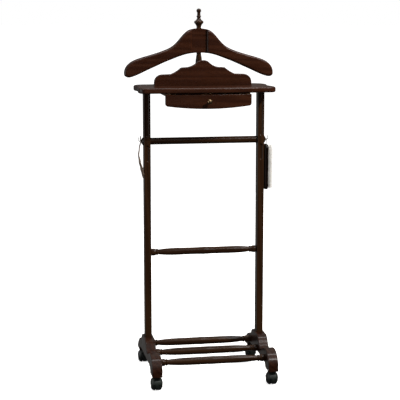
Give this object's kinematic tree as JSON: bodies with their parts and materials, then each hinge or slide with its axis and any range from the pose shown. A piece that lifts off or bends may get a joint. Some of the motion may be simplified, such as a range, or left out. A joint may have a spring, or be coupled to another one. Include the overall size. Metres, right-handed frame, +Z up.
{
  "type": "valet stand",
  "caption": "Free-standing wooden valet stand with suit hanger, tray and drawer, trouser bar, shoe rails, and a shoehorn and clothes brush on hooks, rolling on twin-wheel casters.",
  "frame": {"origin": "on the floor under the middle of the two feet", "axes": "+X from the left post to the right post as seen from the front, -Y towards the front, +Z up"},
  "size_m": [0.4842, 0.366, 1.168],
  "materials": {
    "stained_wood": "dark reddish walnut stain under glossy lacquer",
    "plain_wood": "unstained hardwood, thin matt sealer",
    "screw_steel": "zinc plated",
    "hook_wire": "bright nickel plated wire",
    "pull_brass": "lacquered brass",
    "horn_plastic": "polished horn-coloured plastic",
    "brush_wood": "near-black lacquered wood",
    "bristle": "pale bristle",
    "caster_plastic": "black moulded nylon",
    "wheel_plastic": "black moulded nylon"
  },
  "bodies": {
    "frame": {"left_foot": "stained_wood", "right_foot": "stained_wood", "left_post": "stained_wood", "right_post": "stained_wood", "base_rail_front": "stained_wood", "base_rail_middle": "stained_wood", "base_rail_rear": "stained_wood", "mid_rail": "stained_wood", "trouser_bar": "stained_wood", "bar_knob_left": "stained_wood", "bar_knob_right": "stained_wood", "shelf": "stained_wood", "crest_board": "stained_wood", "hanger_spindle": "stained_wood", "hanger_hub": "stained_wood", "hanger_arm_left": "stained_wood", "hanger_arm_right": "stained_wood", "finial": "stained_wood", "shelf_dowels": "plain_wood", "drawer_runner_left": "plain_wood", "drawer_runner_right": "plain_wood", "drawer_stop": "plain_wood", "foot_bolts": "screw_steel", "crest_screws": "screw_steel", "finial_rod": "screw_steel", "runner_screws": "screw_steel", "hook_left": "hook_wire", "hook_right": "hook_wire", "caster_sockets": "caster_plastic"},
    "drawer": {"drawer_front": "stained_wood", "drawer_side_left": "plain_wood", "drawer_side_right": "plain_wood", "drawer_guide_left": "plain_wood", "drawer_guide_right": "plain_wood", "drawer_back": "plain_wood", "drawer_bottom": "plain_wood", "drawer_pull": "pull_brass", "pull_screw": "screw_steel"},
    "shoehorn": {"shoehorn": "horn_plastic"},
    "brush": {"brush_body": "brush_wood", "brush_bristles": "bristle", "brush_eye": "hook_wire"},
    "caster_front_left": {"caster_hood_front_left": "caster_plastic"},
    "wheels_front_left": {"caster_wheels_front_left": "wheel_plastic", "caster_axle_front_left": "screw_steel"},
    "caster_front_right": {"caster_hood_front_right": "caster_plastic"},
    "wheels_front_right": {"caster_wheels_front_right": "wheel_plastic", "caster_axle_front_right": "screw_steel"},
    "caster_rear_left": {"caster_hood_rear_left": "caster_plastic"},
    "wheels_rear_left": {"caster_wheels_rear_left": "wheel_plastic", "caster_axle_rear_left": "screw_steel"},
    "caster_rear_right": {"caster_hood_rear_right": "caster_plastic"},
    "wheels_rear_right": {"caster_wheels_rear_right": "wheel_plastic", "caster_axle_rear_right": "screw_steel"}
  },
  "joints": [
    {"name": "drawer_slide", "type": "slide", "parent": "frame", "child": "drawer", "axis": [0, -1, 0], "range_m": [0, 0.114]},
    {"name": "shoehorn_swing", "type": "hinge", "parent": "frame", "child": "shoehorn", "pos_m": [-0.2037, 0.036, 0.754], "axis": [1, 0, 0], "range_deg": [-35, 35]},
    {"name": "brush_swing", "type": "hinge", "parent": "frame", "child": "brush", "pos_m": [0.2037, 0.036, 0.754], "axis": [1, 0, 0], "range_deg": [-35, 35]},
    {"name": "swivel_front_left", "type": "hinge", "parent": "frame", "child": "caster_front_left", "pos_m": [-0.183, -0.148, 0.04], "axis": [0, 0, 1], "continuous": true},
    {"name": "roll_front_left", "type": "hinge", "parent": "caster_front_left", "child": "wheels_front_left", "pos_m": [-0.183, -0.159, 0.019], "axis": [1, 0, 0], "continuous": true},
    {"name": "swivel_front_right", "type": "hinge", "parent": "frame", "child": "caster_front_right", "pos_m": [0.183, -0.148, 0.04], "axis": [0, 0, 1], "continuous": true},
    {"name": "roll_front_right", "type": "hinge", "parent": "caster_front_right", "child": "wheels_front_right", "pos_m": [0.183, -0.159, 0.019], "axis": [1, 0, 0], "continuous": true},
    {"name": "swivel_rear_left", "type": "hinge", "parent": "frame", "child": "caster_rear_left", "pos_m": [-0.183, 0.148, 0.04], "axis": [0, 0, 1], "continuous": true},
    {"name": "roll_rear_left", "type": "hinge", "parent": "caster_rear_left", "child": "wheels_rear_left", "pos_m": [-0.183, 0.159, 0.019], "axis": [1, 0, 0], "continuous": true},
    {"name": "swivel_rear_right", "type": "hinge", "parent": "frame", "child": "caster_rear_right", "pos_m": [0.183, 0.148, 0.04], "axis": [0, 0, 1], "continuous": true},
    {"name": "roll_rear_right", "type": "hinge", "parent": "caster_rear_right", "child": "wheels_rear_right", "pos_m": [0.183, 0.159, 0.019], "axis": [1, 0, 0], "continuous": true}
  ]
}
